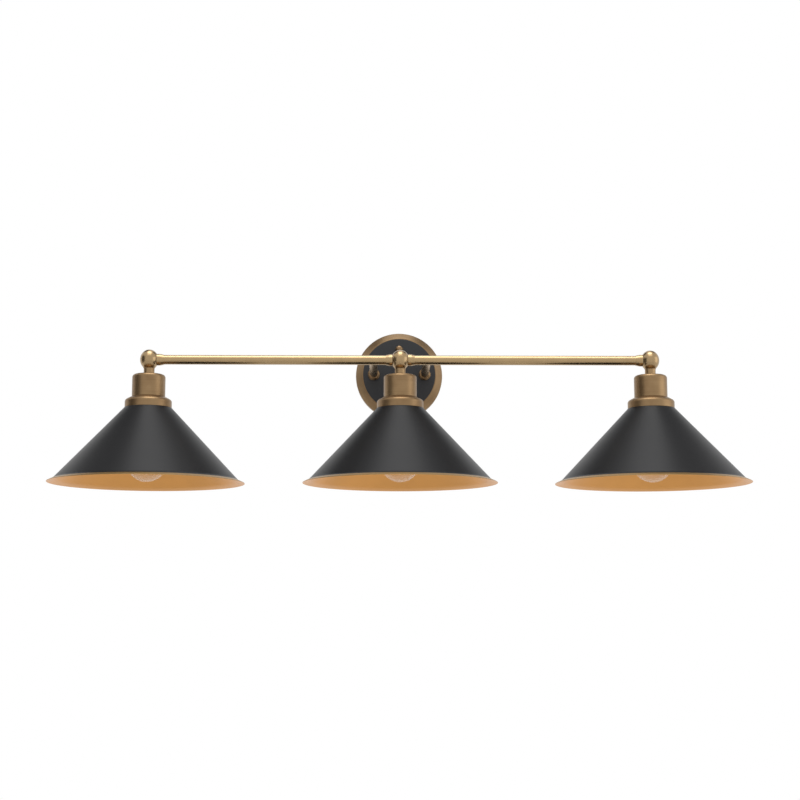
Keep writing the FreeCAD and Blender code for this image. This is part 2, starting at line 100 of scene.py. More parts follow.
def slant(name, description, default):
    """An angle in radians that a user may change."""
    return bpy.props.FloatProperty(name=name, description=description, default=default, subtype="ANGLE")


def watts(name, description, default):
    """The power of a lamp that a user may change."""
    return bpy.props.FloatProperty(name=name, description=description, default=default, unit="POWER")


def colour(name, description, default):
    """A surface colour that a user may change."""
    return bpy.props.FloatVectorProperty(
        name=name, description=description, default=default, subtype="COLOR", size=3, min=0, max=1
    )


class SconceSizes(bpy.types.PropertyGroup):
    """Sizes of the modelled pieces that the frame's boxes don't give."""

    sheet: length("Spun sheet", "Wall of the cups, collars and canopy", 0.0012)
    shade_sheet: length("Shade sheet", "Wall of the shades", 0.0008)
    lip_width: length("Lip width", "Width of the flared lip along its slope", 0.0085)
    lip_rounding: length("Lip rounding", "Radius where the cone turns into the lip", 0.012)
    lip_angle: slant("Lip angle", "Slope of the lip below level", math.radians(25))
    cup_rounding: length("Cup rounding", "Outer rounding of a cup's top edge", 0.004)
    collar_slope: length("Collar slope", "Drop of a collar's sloping top", 0.00485)
    collar_rounding: length("Collar rounding", "Radius of a collar's shoulder", 0.0042)
    edge: length("Small edge", "Rounding of turned edges", 0.0004)
    fillet: length("Neck fillet", "Hollow rounding at both ends of a neck", 0.0009)
    swivel_gap: length("Swivel gap", "Clearance between a ball and its ferrules", 0.0003)
    ferrule_side: length("Ferrule side", "Where a ferrule's side turns, from the ball's centre", 0.0139)
    ferrule_end: length("Ferrule end", "Where a ferrule ends, from the ball's centre", 0.0189)
    ferrule_lip: length("Ferrule lip", "Height of a ferrule's end above the bar", 0.0003)
    ferrule_rounding: length("Ferrule rounding", "Rounding between a ferrule's side and taper", 0.015)
    canopy_bevel: length("Canopy bevel", "Width of the canopy's bevel", 0.009)
    canopy_rise: length("Canopy rise", "Depth of the canopy's bevel", 0.0116)
    canopy_rounding: length("Canopy rounding", "Rounding between the canopy's side and bevel", 0.001)
    nut_foot: portion("Nut foot", "Height of a cap nut's foot, as a part of the nut's height", 0.16)
    nut_slope: portion("Nut slope", "Height of the slope above the foot, as a part of the foot's", 0.35)
    nut_dome: portion("Nut dome", "Radius of a cap nut's dome, as a part of its foot's radius", 0.9)
    nut_crown: portion("Nut crown", "Rounding of the dome, as a part of the foot's radius", 0.72)
    flange_slope: portion("Flange slope", "Height of an arm flange's slope, as a part of its step", 0.4)
    flange_rounding: length("Flange rounding", "Rounding of an arm flange's front edge", 0.0012)
    bulb_wall: length("Bulb wall", "Thickness of the bulb's glass", 0.0008)
    bulb_waist: length("Bulb waist", "Radius of the hollow curve under the bulb's neck", 0.060)
    stem_length: length("Stem length", "Length of the glass stem from the top of the bulb's neck", 0.028)
    braze: length("Braze", "Size of the fillet where an arm meets the bar", 0.0012)
    socket_depth: length("Socket depth", "Depth of the hole that takes a bulb's base", 0.0275)
    ring_rib: length("Ring rib", "Height of the grip ribs on a shade ring", 0.0007)


class SconceColours(bpy.types.PropertyGroup):
    """Colours of the finishes."""

    polished_brass: colour("Polished brass", "Bar, arms, ferrules and pivots", (0.40, 0.28, 0.146))
    # Painted shade: the bar's polished brass made a little darker for the balls, standing in for the shade on
    # their flanks.
    shaded_ball_brass: colour("Ball brass", "Balls", (0.38, 0.265, 0.14))
    antique_brass: colour("Antique brass", "Cups, collars, necks and canopy", (0.30, 0.20, 0.105))
    dark_brass: colour("Brass patina", "Darkened parts of the antique brass", (0.21, 0.13, 0.065))
    dull_brass: colour("Dull brass", "Cap nuts and arm flanges", (0.26, 0.165, 0.085))
    shade_black: colour("Shade black", "Outside of the shades", (0.006, 0.006, 0.007))
    disc_black: colour("Disc black", "Disc on the canopy", (0.014, 0.015, 0.018))
    shade_gold: colour("Shade gold", "Inside of the shades", (0.62, 0.30, 0.085))
    # Painted shade: the shade gold made darker for the outside of the lips, standing in for the shade on
    # them.
    shaded_lip_gold: colour("Worn gold", "Outside of the shades' lips", (0.29, 0.175, 0.06))
    stem_glass: colour("Stem glass", "Glass stems inside the bulbs", (0.97, 0.98, 0.97))
    # Painted reflection: a warm pale tint on the bulbs' glass that stands for the gold inside of the shade
    # reflected in it.
    bulb_reflection_tint: colour("Bulb sheen", "Pale sheen of the bulbs' thin glass", (0.98, 0.86, 0.74))
    filament: colour("Filament", "Wire inside the bulbs", (0.35, 0.33, 0.30))
    porcelain: colour("Porcelain", "Lamp sockets", (0.80, 0.78, 0.73))
    moulding: colour("Black moulding", "Shade rings and lead sleeves", (0.02, 0.02, 0.021))
    zinc: colour("Zinc", "Crossbar, studs and nuts", (0.62, 0.62, 0.60))
    earth_green: colour("Earth green", "Ground screw", (0.05, 0.26, 0.09))
    connector: colour("Connector", "Wire connectors", (0.62, 0.22, 0.04))
    base_metal: colour("Base metal", "Screw shells of bulbs and sockets", (0.78, 0.76, 0.72))


class SconceStage(bpy.types.PropertyGroup):
    """Camera, lamps and floor."""

    lens: bpy.props.FloatProperty(name="Lens", description="Focal length for a 36 mm sensor", default=66.34)
    camera_place: bpy.props.FloatVectorProperty(
        name="Camera place", description="Where the camera stands", default=(-0.0231, -2.027, -0.3239),
        size=3, subtype="TRANSLATION", unit="LENGTH",
    )
    camera_pitch: slant("Camera pitch", "How far the camera looks up", 0.1430)
    camera_yaw: slant("Camera yaw", "How far the camera looks to the right", 0.0121)
    top_power: watts("Top lamp", "Power of the wide lamp overhead", 70)
    front_power: watts("Front lamp", "Power of the lamp above the camera", 18)
    side_power: watts("Side lamp", "Power of the lamp on the right", 9)
    even_light: portion("Even light", "Strength of the surroundings' light on matt surfaces", 0.85)
    floor_drop: length("Floor drop", "Height of the wall mount above the floor", 1.4)
    floor_grey: portion("Floor grey", "How pale the floor is", 0.8)


class Term:
    """An output socket of a node. Python's operators on it add Math nodes."""

    def __init__(self, paint, socket):
        self.paint = paint
        self.socket = socket

    def maths(self, operation, *values):
        sockets = dict(enumerate(values))
        return self.paint.node("ShaderNodeMath", {"operation": operation}, sockets)

    def __add__(self, other):
        return self.maths("ADD", self, other)

    def __sub__(self, other):
        return self.maths("SUBTRACT", self, other)

    def __rsub__(self, other):
        return self.maths("SUBTRACT", other, self)

    def __mul__(self, other):
        return self.maths("MULTIPLY", self, other)

    def __pow__(self, other):
        return self.maths("POWER", self, other)

    __radd__ = __add__
    __rmul__ = __mul__

    def clamped(self):
        """The value kept between 0 and 1."""
        return self.paint.node("ShaderNodeMath", {"operation": "ADD", "use_clamp": True}, {0: self, 1: 0.0})


class Nodes:
    """The nodes of a material or a world under construction."""

    def __init__(self, owner):
        self.owner = owner
        owner.use_nodes = True
        self.tree = owner.node_tree
        self.tree.nodes.clear()

    def node(self, kind, settings=None, sockets=None, output=0):
        """Adds a node. Its settings come first, then the values or links of its sockets."""
        made = self.tree.nodes.new(kind)
        for name, value in (settings or {}).items():
            setattr(made, name, value)
        for name, value in (sockets or {}).items():
            if isinstance(value, Term):
                self.tree.links.new(value.socket, made.inputs[name])
            else:
                made.inputs[name].default_value = value
        if made.outputs:
            return Term(self, made.outputs[output])

    def parts(self, made, *names):
        """Several outputs of a node that was made."""
        return [Term(self, made.socket.node.outputs[name]) for name in names]

    def rays(self, *kinds):
        """1 for rays of these kinds and 0 for others."""
        seen, *others = self.parts(self.node("ShaderNodeLightPath"), *kinds)
        for other in others:
            seen = seen.maths("MAXIMUM", seen, other)
        return seen


class Paint(Nodes):
    """A material under construction."""

    def __init__(self, name):
        super().__init__(bpy.data.materials.new(name))

    def place(self):
        """The point of the surface in the frame's own metres."""
        return self.node("ShaderNodeTexCoord", output="Object")

    def axes(self, centre):
        """The three distances of the surface's point from a centre, as separate values."""
        shifted = self.node(
            "ShaderNodeVectorMath", {"operation": "SUBTRACT"}, {0: self.place(), 1: tuple(centre)}
        )
        return self.parts(self.node("ShaderNodeSeparateXYZ", sockets={"Vector": shifted}), "X", "Y", "Z")

    def vector(self, x, y, z):
        """A vector from three values."""
        return self.node("ShaderNodeCombineXYZ", sockets={"X": x, "Y": y, "Z": z})

    def noise(self, scale, detail=2.0, roughness=0.5, at=None):
        """Soft noise between 0 and 1. scale is in features for each metre."""
        return self.node("ShaderNodeTexNoise", {}, {
            "Vector": at or self.place(), "Scale": scale, "Detail": detail, "Roughness": roughness,
        })

    def ramp(self, value, low, high):
        """The value stretched so that low gives 0 and high gives 1, and clamped."""
        sockets = {"Value": value, "From Min": low, "From Max": high}
        return self.node("ShaderNodeMapRange", {"clamp": True}, sockets)

    def blend(self, factor, first, second):
        """A colour between two colours."""
        sockets = {0: factor, 6: opaque(first), 7: opaque(second)}
        return self.node("ShaderNodeMix", {"data_type": "RGBA"}, sockets, output=2)

    def bump(self, height, distance, strength):
        """A normal from a height, where distance is the depth in metres."""
        return self.node("ShaderNodeBump", {}, {
            "Height": height, "Distance": distance, "Strength": strength,
        })

    def finish(self, **sockets):
        """Closes the material with one surface shader and returns it."""
        named = {name.replace("_", " "): value for name, value in sockets.items()}
        return self.close(self.node("ShaderNodeBsdfPrincipled", {}, named))

    def close(self, shader):
        """Gives the material its shader and returns it."""
        self.node("ShaderNodeOutputMaterial", {}, {"Surface": shader})
        return self.owner


def opaque(value):
    """A colour with full alpha, or a linked term as it is."""
    return value if isinstance(value, Term) else (*value[:3], 1.0)


def shades_of(value, factor):
    """A colour made darker or lighter."""
    return tuple(min(1.0, part * factor) for part in value)


def brass_polished(name, tint, roughness=0.23):
    """Lacquered polished brass with faint handling marks."""
    paint = Paint(name)
    marks = paint.noise(55, detail=3.0)
    haze = paint.noise(420)
    return paint.finish(
        Base_Color=paint.blend(
            paint.ramp(marks, 0.35, 0.75), shades_of(tint, 0.93), shades_of(tint, 1.05)
        ),
        Metallic=1.0,
        Roughness=roughness + marks * 0.05 + haze * 0.03,
        Coat_Weight=0.15,
        Normal=paint.bump(haze, 0.00001, 0.05),
    )


def brass_spun(name, tint, patina, centre, axis):
    """Brass turned on a lathe and darkened: fine rings about its axis, worn lighter in soft patches."""
    paint = Paint(name)
    x, y, z = paint.axes(centre)
    along, across, other = {"z": (z, x, y), "y": (y, x, z)}[axis]
    radius = (across * across + other * other) ** 0.5
    rings = paint.noise(1.0, detail=3.0, roughness=0.65, at=paint.vector(
        along * RINGS_PER_METRE, radius * RINGS_PER_METRE, across * 25
    ))
    lines = paint.noise(1.0, detail=1.0, at=paint.vector(
        along * LINES_PER_METRE, radius * LINES_PER_METRE, other * 12
    ))
    patches = paint.noise(38, detail=3.0, roughness=0.6)
    worn = (patches * 0.75 + lines * 0.35 + rings * 0.15 - 0.12).clamped()
    return paint.finish(
        Base_Color=paint.blend(paint.ramp(worn, 0.30, 0.72), patina, tint),
        Metallic=1.0,
        Roughness=0.30 + rings * 0.12 + patches * 0.06,
        Normal=paint.bump(rings * 0.7 + lines * 0.3, 0.00004, 0.5),
    )


def enamel(name, tint, roughness, metallic=0.0, gloss=0.5):
    """Baked paint with a fine orange-peel surface and slightly cloudy gloss."""
    paint = Paint(name)
    peel = paint.noise(900)
    cloud = paint.noise(24, detail=3.0)
    return paint.finish(
        Base_Color=paint.blend(
            paint.ramp(cloud, 0.3, 0.7), shades_of(tint, 0.96), shades_of(tint, 1.04)
        ),
        Metallic=metallic,
        Roughness=roughness - 0.03 + cloud * 0.06 + peel * 0.03,
        Specular_IOR_Level=gloss,
        Normal=paint.bump(peel, 0.00003, 0.35),
    )


def moulded(name, tint, roughness):
    """Moulded plastic or rubber with a fine grain."""
    paint = Paint(name)
    grain = paint.noise(2600)
    return paint.finish(
        Base_Color=paint.blend(grain, shades_of(tint, 0.9), shades_of(tint, 1.1)),
        Roughness=roughness + grain * 0.08,
        Normal=paint.bump(grain, 0.00003, 0.4),
    )


def glazed(name, tint):
    """Glazed porcelain, slightly uneven."""
    paint = Paint(name)
    wave = paint.noise(130)
    return paint.finish(
        Base_Color=paint.blend(wave, shades_of(tint, 0.96), shades_of(tint, 1.03)),
        Roughness=0.16 + wave * 0.06,
        Coat_Weight=0.6,
        Normal=paint.bump(wave, 0.0001, 0.2),
    )


def clear_glass(name, tint):
    """Thin blown glass: clear to look through, with a painted reflection, a pale tinted veil that grows more
    opaque towards its edges.
    """
    paint = Paint(name)
    wave = paint.noise(60)
    facing = paint.node("ShaderNodeLayerWeight", {}, {"Blend": 0.5}, output=1)
    return paint.finish(
        Base_Color=paint.blend(wave, shades_of(tint, 0.98), tint),
        Roughness=0.20 + wave * 0.05,
        # Painted reflection: the veil's opacity grows towards the glass's edges.
        Alpha=facing * 0.22 + 0.01,
        Coat_Weight=1.0,
        Coat_Roughness=0.25,
    )


def glass_and_wire(name, tint, wire, wire_start):
    """Clear glass above a height and drawn filament wire below it, as one finish for a stem."""
    paint = Paint(name)
    below = paint.ramp(paint.axes((0, 0, 0))[2], wire_start, wire_start - 0.0001)
    grain = paint.noise(2200)
    glass = paint.node("ShaderNodeBsdfPrincipled", {}, {
        "Base Color": paint.blend(grain, shades_of(tint, 0.98), tint),
        "Roughness": grain * 0.04,
        "IOR": 1.45,
        "Transmission Weight": 1.0,
    })
    metal = paint.node("ShaderNodeBsdfPrincipled", {}, {
        "Base Color": paint.blend(grain, shades_of(wire, 0.9), shades_of(wire, 1.1)),
        "Roughness": grain * 0.1 + 0.3,
        "Metallic": 1.0,
    })
    return paint.close(paint.node("ShaderNodeMixShader", {}, {0: below, 1: glass, 2: metal}))


def sheet_metal(name, tint, roughness):
    """Rolled or plated metal with a drawn grain."""
    paint = Paint(name)
    x, y, z = paint.axes((0, 0, 0))
    grain = paint.noise(1.0, detail=3.0, at=paint.vector(x * 2400, y * 2400, z * 160))
    stain = paint.noise(70, detail=3.0)
    return paint.finish(
        Base_Color=paint.blend(
            paint.ramp(stain, 0.3, 0.7), shades_of(tint, 0.86), shades_of(tint, 1.04)
        ),
        Metallic=1.0,
        Roughness=roughness + grain * 0.10 + stain * 0.08,
        Normal=paint.bump(grain, 0.00003, 0.3),
    )


def rounded(corners, steps=6):
    """A line through corners of (radius, height). A third number rounds a corner with an arc."""
    line = []
    for index, corner in enumerate(corners):
        point = Vector(corner[:2])
        if len(corner) < 3 or not corner[2]:
            line.append(point)
            continue
        before = (Vector(corners[index - 1][:2]) - point).normalized()
        after = (Vector(corners[(index + 1) % len(corners)][:2]) - point).normalized()
        half = before.angle(after) / 2
        middle = point + (before + after).normalized() * (corner[2] / math.sin(half))
        start = point + before * (corner[2] / math.tan(half)) - middle
        end = point + after * (corner[2] / math.tan(half)) - middle
        turn = math.atan2(start.x * end.y - start.y * end.x, start.dot(end))
        for step in range(steps + 1):
            angle = turn * step / steps
            line.append(middle + Vector((
                start.x * math.cos(angle) - start.y * math.sin(angle),
                start.x * math.sin(angle) + start.y * math.cos(angle),
            )))
    return line


def arc(centre, radius, start, end, steps):
    """Points of (radius, height) round a centre, from a start angle to an end angle."""
    line = []
    for step in range(steps + 1):
        angle = start + (end - start) * step / steps
        line.append(Vector((centre[0] + radius * math.cos(angle), centre[1] + radius * math.sin(angle))))
    return line


def beside(line, distance):
    """An open line of (x, y) points moved to its left by a distance, as the other face of a sheet."""
    least_lean = 0.3
    moved = []
    for index, point in enumerate(line):
        before = line[max(index - 1, 0)]
        after = line[min(index + 1, len(line) - 1)]
        way = (point - before).normalized() + (after - point).normalized()
        normal = Vector((-way.y, way.x)).normalized()
        edge = (after - point if index == 0 else point - before).normalized()
        lean = max(least_lean, normal.dot(Vector((-edge.y, edge.x))))
        moved.append(point + normal * (distance / lean))
    return moved


def start_piece(name):
    """A new mesh object with one vertex at the frame's origin, left in edit mode."""
    bpy.ops.object.select_all(action="DESELECT")
    bpy.ops.mesh.primitive_plane_add(size=0.01, location=(0, 0, 0))
    piece = bpy.context.object
    piece.name = name
    piece.data.name = name
    bpy.ops.object.mode_set(mode="EDIT")
    bpy.ops.mesh.select_all(action="SELECT")
    bpy.ops.mesh.merge(type="CENTER")
    return piece


def turned(name, outline, centre, axis, sides=CUP_SIDES):
    """A turned solid. Its closed outline of (radius, height) is extruded point by point, then spun."""
    across = UP if axis.x else ALONG
    places = [centre + across * point[0] + axis * point[1] for point in outline]
    piece = start_piece(name)
    bpy.ops.transform.translate(value=places[0])
    for before, after in zip(places, places[1:] + places[:1]):
        bpy.ops.mesh.extrude_region_move(TRANSFORM_OT_translate={"value": after - before})
    bpy.ops.mesh.select_all(action="SELECT")
    bpy.ops.mesh.remove_doubles(threshold=MERGE_DISTANCE)
    bpy.ops.mesh.spin(steps=sides, angle=math.tau, center=centre, axis=axis)
    bpy.ops.mesh.select_all(action="SELECT")
    bpy.ops.mesh.remove_doubles(threshold=MERGE_DISTANCE)
    bpy.ops.mesh.delete_loose()
    bpy.ops.mesh.select_all(action="SELECT")
    bpy.ops.mesh.normals_make_consistent(inside=False)
    bpy.ops.object.mode_set(mode="OBJECT")
    bpy.ops.object.shade_smooth_by_angle(angle=SMOOTH_ANGLE)
    return piece


def joined(name, pieces):
    """One object from several pieces."""
    bpy.ops.object.select_all(action="DESELECT")
    for piece in pieces:
        piece.select_set(True)
    bpy.context.view_layer.objects.active = pieces[0]
    bpy.ops.object.join()
    pieces[0].name = name
    pieces[0].data.name = name
    return pieces[0]


def fit(piece, body, node, slot, *materials):
    """Gives a finished piece its materials and its body, and hides the CAD node that it stands for."""
    for material in materials:
        piece.data.materials.append(material)
    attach(piece, body)
    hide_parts(node)
    return piece


def repaint(node, material):
    """Gives a CAD node that stays its finish."""
    node_data = frame["nodes"][node].data
    node_data.materials.clear()
    node_data.materials.append(material)


def reach(node, centre, axis):
    """Radius of a node about an axis through a centre, and its start and end along that axis."""
    low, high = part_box(node)
    start, end = sorted((corner - centre).dot(axis) for corner in (low, high))
    radius = max(part for part, way in zip(high - centre, axis) if not way)
    return radius, start, end


def ball_size():
    """Half the width of a ball along the bar, and its radius about the bar."""
    low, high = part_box("left_ball")
    pivot = PIVOTS["left_head"]
    return pivot.x - low.x, high.z - pivot.z


class SCONCE_OT_canopy(bpy.types.Operator):
    """Spins the canopy pan, its black disc, the cap nuts and the arm flanges"""

    bl_idname = "sconce.canopy"
    bl_label = "Canopy"

    def execute(self, context):
        sizes = context.scene.sconce_sizes
        colours = context.scene.sconce_colours
        origin = Vector((0, 0, 0))
        spun = brass_spun("canopy_brass", colours.antique_brass, colours.dark_brass, origin, "y")
        radius, _, front = reach("canopy_pan", origin, ROOM)
        bevel = sizes.canopy_bevel
        outer = rounded([
            (0.0, front),
            (radius - bevel, front, sizes.edge),
            (radius, front - sizes.canopy_rise, sizes.canopy_rounding),
            (radius, 0.0),
        ])
        wall = outer + beside(outer, -sizes.sheet)[::-1]
        pan = turned("canopy_pan_brass", wall, origin, ROOM, PLATE_SIDES)
        fit(pan, WALL_BODY, "canopy_pan", "antique_brass", spun)

        disc_radius, disc_back, disc_front = reach("face_disc", origin, ROOM)
        disc = turned("face_disc_black", rounded([
            (0.0, disc_back),
            (disc_radius, disc_back),
            (disc_radius, disc_front, sizes.edge),
            (0.0, disc_front),
        ]), origin, ROOM, PLATE_SIDES)
        black = enamel("disc_paint", colours.disc_black, 0.42, gloss=0.45)
        fit(disc, WALL_BODY, "face_disc", "black_enamel", black)
        self.cap_nuts(sizes, colours)
        self.flanges(sizes, colours)
        return {"FINISHED"}

    def cap_nuts(self, sizes, colours):
        """Domed nuts with a small foot, one above and one below the middle."""
        low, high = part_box("cap_nuts")
        radius, back, front = high.x, -high.y, -low.y
        foot = (front - back) * sizes.nut_foot
        dome = radius * sizes.nut_dome
        outline = rounded([
            (0.0, back),
            (radius, back, sizes.edge),
            (radius, back + foot, sizes.edge),
            (dome, back + foot * (1 + sizes.nut_slope), sizes.edge),
            (dome, front, radius * sizes.nut_crown),
            (0.0, front),
        ])
        nuts = []
        for height in (low.z + radius, high.z - radius):
            nuts.append(turned("cap_nut", outline, Vector((0, 0, height)), ROOM, NUT_SIDES))
        piece = joined("cap_nuts_brass", nuts)
        finish = brass_polished("nut_brass", colours.dull_brass, 0.38)
        fit(piece, WALL_BODY, "cap_nuts", "polished_brass", finish)

    def flanges(self, sizes, colours):
        """Stepped collars round the arms."""
        flange_low, flange_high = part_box("arm_flanges")
        radius, back, front = flange_high.z, -flange_high.y, -flange_low.y
        step = (front - back) / 3
        front_radius = radius - step / 2
        rings = []
        for side in ("left", "right"):
            low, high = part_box(side + "_arm")
            centre = Vector(((low.x + high.x) / 2, 0, 0))
            arm_radius = (high.x - low.x) / 2
            rings.append(turned(side + "_flange", rounded([
                (arm_radius, back),
                (radius, back, sizes.edge),
                (radius, back + step, sizes.edge),
                (front_radius, back + step * (1 + sizes.flange_slope), sizes.edge),
                (front_radius, front, sizes.flange_rounding),
                (arm_radius, front),
            ]), centre, ROOM, TUBE_SIDES))
        finish = brass_polished("flange_brass", colours.dull_brass, 0.38)
        fit(joined("arm_flanges_brass", rings), WALL_BODY, "arm_flanges", "polished_brass", finish)


class SCONCE_OT_bar(bpy.types.Operator):
    """Makes both halves of the bar, the arms and the ferrules"""

    bl_idname = "sconce.bar"
    bl_label = "Bar and arms"

    def execute(self, context):
        sizes = context.scene.sconce_sizes
        finish = brass_polished("bar_brass", context.scene.sconce_colours.polished_brass)
        pivot = PIVOTS["centre_head"]
        for side in ("left", "right"):
            radius, start, end = reach(side + "_bar", pivot, ALONG)
            tube = turned(side + "_bar_brass", [
                (radius - sizes.sheet, start),
                (radius, start),
                (radius, end),
                (radius - sizes.sheet, end),
            ], pivot, ALONG, TUBE_SIDES)
            fit(tube, WALL_BODY, side + "_bar", "polished_brass", finish)
            self.arm(side, sizes, finish, radius, -pivot.y)
        self.ferrules(sizes, finish, pivot, radius)
        return {"FINISHED"}

    def arm(self, side, sizes, finish, bar_radius, bar_distance):
        """A straight tube with a small brazed fillet against the bar."""
        low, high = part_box(side + "_arm")
        centre = Vector(((low.x + high.x) / 2, 0, 0))
        radius, back, _ = reach(side + "_arm", centre, ROOM)
        bar_back = bar_distance - bar_radius
        outline = rounded([
            (radius - sizes.sheet, back),
            (radius, back),
            (radius, bar_back, sizes.braze),
            (radius + sizes.braze / 2, bar_back + bar_radius / 2),
            (radius - sizes.sheet, bar_back + bar_radius / 2),
        ])
        tube = turned(side + "_arm_brass", outline, centre, ROOM, TUBE_SIDES)
        fit(tube, WALL_BODY, side + "_arm", "polished_brass", finish)

    def ferrules(self, sizes, finish, pivot, bar_radius):
        """A bell at each end of each bar half, hollowed to seat its ball."""
        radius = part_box("ferrules")[1].z
        half_width, height = ball_size()
        seat_width, seat_height = half_width + sizes.swivel_gap, height + sizes.swivel_gap
        seat_steps = 6
        seat_line = []
        for step in range(seat_steps + 1):
            out = bar_radius + (radius - bar_radius) * step / seat_steps
            seat_line.append(Vector((out, seat_width * math.sqrt(1 - (out / seat_height) ** 2))))
        outline = seat_line[:-1] + rounded([
            seat_line[-1],
            (radius, sizes.ferrule_side, sizes.ferrule_rounding),
            (bar_radius + sizes.ferrule_lip, sizes.ferrule_end),
            (bar_radius, sizes.ferrule_end),
        ])
        spacing = PIVOTS["right_head"].x
        bells = []
        for ball_x, side in ((-spacing, 1), (0, -1), (0, 1), (spacing, -1)):
            centre = Vector((ball_x, pivot.y, pivot.z))
            bells.append(turned("ferrule", outline, centre, ALONG * side, TUBE_SIDES))
        piece = joined("ferrules_brass", bells)
        fit(piece, WALL_BODY, "ferrules", "polished_brass", finish)


class SCONCE_OT_heads(bpy.types.Operator):
    """Turns the ball, neck, cup and collar of every head"""

    bl_idname = "sconce.heads"
    bl_label = "Balls, necks, cups and collars"

    def execute(self, context):
        sizes = context.scene.sconce_sizes
        colours = context.scene.sconce_colours
        for head in HEADS:
            body = head + "_head"
            pivot = PIVOTS[body]
            # Painted shade: a darker copy of the polished brass for the ball.
            polished = brass_polished(head + "_ball_brass", colours.shaded_ball_brass)
            # Painted light: the neck gets a lighter copy of the cup's antique brass.
            lightened_neck_brass = shades_of(colours.antique_brass, NECK_PAINTED_LIGHT)
            worn = brass_spun(head + "_neck_brass", lightened_neck_brass, colours.antique_brass, pivot, "z")
            spun = brass_spun(head + "_cup_brass", colours.antique_brass, colours.dark_brass, pivot, "z")
            self.ball(head, body, pivot, polished)
            self.neck(head, body, pivot, sizes, worn)
            self.cup(head, body, pivot, sizes, spun)
            self.collar(head, body, pivot, sizes, spun)
        return {"FINISHED"}

    def ball(self, head, body, pivot, finish):
        """A ball a little narrower along the bar, turned about the bar's line."""
        half_width, height = ball_size()
        half_circle = arc((0, 0), 1, -math.pi / 2, math.pi / 2, BALL_SIDES // 2)
        outline = [Vector((point.x * height, point.y * half_width)) for point in half_circle]
        outline[0].x = outline[-1].x = 0
        piece = turned(head + "_ball_turned", outline, pivot, ALONG, BALL_SIDES)
        fit(piece, body, head + "_ball", "polished_brass", finish)

    def neck(self, head, body, pivot, sizes, finish):
        """A short round neck with a hollow rounding against the ball and the cup."""
        radius, top, _ = reach(head + "_neck", pivot, DOWN)
        half_width, height = ball_size()
        flare = radius + sizes.fillet
        seat = height * math.sqrt(1 - (flare / half_width) ** 2)
        bottom = reach(head + "_cup", pivot, DOWN)[1]
        piece = turned(head + "_neck_turned", rounded([
            (0.0, top),
            (flare, top),
            (flare, seat),
            (radius, seat + 2 * sizes.fillet, 2 * sizes.fillet),
            (radius, bottom - sizes.fillet, sizes.fillet),
            (flare, bottom),
            (0.0, bottom),
        ]), pivot, DOWN, TUBE_SIDES)
        fit(piece, body, head + "_neck", "antique_brass", finish)

    def cup(self, head, body, pivot, sizes, finish):
        """The spun cup over the socket."""
        radius, top, bottom = reach(head + "_cup", pivot, DOWN)
        neck_radius = reach(head + "_neck", pivot, DOWN)[0]
        line = rounded([
            (neck_radius - sizes.sheet, top),
            (radius, top, sizes.cup_rounding),
            (radius, bottom),
        ])
        piece = turned(head + "_cup_spun", line + beside(line, sizes.sheet)[::-1], pivot, DOWN)
        fit(piece, body, head + "_cup", "antique_brass", finish)

    def collar(self, head, body, pivot, sizes, finish):
        """The sloping collar between cup and shade."""
        radius, top, bottom = reach(head + "_collar", pivot, DOWN)
        cup_radius = reach(head + "_cup", pivot, DOWN)[0]
        line = rounded([
            (cup_radius - 3 * sizes.sheet, top),
            (cup_radius, top),
            (radius, top + sizes.collar_slope, sizes.collar_rounding),
            (radius, bottom),
        ], steps=10)
        piece = turned(head + "_collar_spun", line + beside(line, sizes.sheet)[::-1], pivot, DOWN)
        fit(piece, body, head + "_collar", "antique_brass", finish)


class SCONCE_OT_shades(bpy.types.Operator):
    """Spins the cone shades, black outside and gold inside"""

    bl_idname = "sconce.shades"
    bl_label = "Shades"

    def execute(self, context):
        sizes = context.scene.sconce_sizes
        colours = context.scene.sconce_colours
        outside = enamel("shade_paint", colours.shade_black, 0.36, gloss=0.16)
        inside = enamel("shade_gold_paint", colours.shade_gold, 0.34, metallic=0.75)
        # Painted shade: the lips' outside gets a darker copy of the shade gold.
        lip = enamel("shade_lip_paint", colours.shaded_lip_gold, 0.34, metallic=0.75)
        for head in HEADS:
            body = head + "_head"
            pivot = PIVOTS[body]
            line = self.side_line(head, pivot, sizes)
            face = beside(line, sizes.shade_sheet)
            edge = (line[-1] + face[-1]) / 2
            slope = math.atan2(line[-1].y - line[-2].y, line[-1].x - line[-2].x)
            hem = arc(edge, sizes.shade_sheet / 2, slope - math.pi / 2, slope + math.pi / 2, 8)
            outline = line[:-1] + hem + face[:-1][::-1]
            piece = turned(head + "_shade_spun", outline, pivot, DOWN, SHADE_SIDES)
            fit(piece, body, head + "_shade", "shade_enamel", outside, inside, lip)
            self.paint_gold(piece, pivot, line)
        return {"FINISHED"}

    def side_line(self, head, pivot, sizes):
        """Outer face of a shade, from the hole in its top to its rim."""
        radius, top, bottom = reach(head + "_shade", pivot, DOWN)
        rim = bottom - sizes.shade_sheet * math.cos(sizes.lip_angle)
        hole = reach(head + "_socket_body", pivot, DOWN)[0] + sizes.shade_sheet / 2
        lip_radius = radius - sizes.lip_width * math.cos(sizes.lip_angle)
        lip_start = rim - sizes.lip_width * math.sin(sizes.lip_angle)
        collar_radius = reach(head + "_collar", pivot, DOWN)[0]
        return rounded([
            (hole, top),
            (collar_radius, top, sizes.shade_sheet * 1.5),
            (lip_radius, lip_start, sizes.lip_rounding),
            (radius, rim),
        ], steps=12)

    def paint_gold(self, piece, pivot, line):
        """Gives the gold to the inner faces outside the top hole's edge, and a darker gold, painted shade, to
        the outside of the lip.
        """
        gold, shaded_lip_gold = 1, 2
        hole, bend_end = line[0].x, line[-2].x
        for polygon in piece.data.polygons:
            outward = Vector((polygon.center.x - pivot.x, polygon.center.y - pivot.y, 0))
            looks_in = polygon.normal.dot(outward.normalized()) < -0.02
            looks_down = polygon.normal.z < -0.5
            if (looks_in or looks_down) and outward.length > hole:
                polygon.material_index = gold
            elif outward.length > bend_end:
                polygon.material_index = shaded_lip_gold


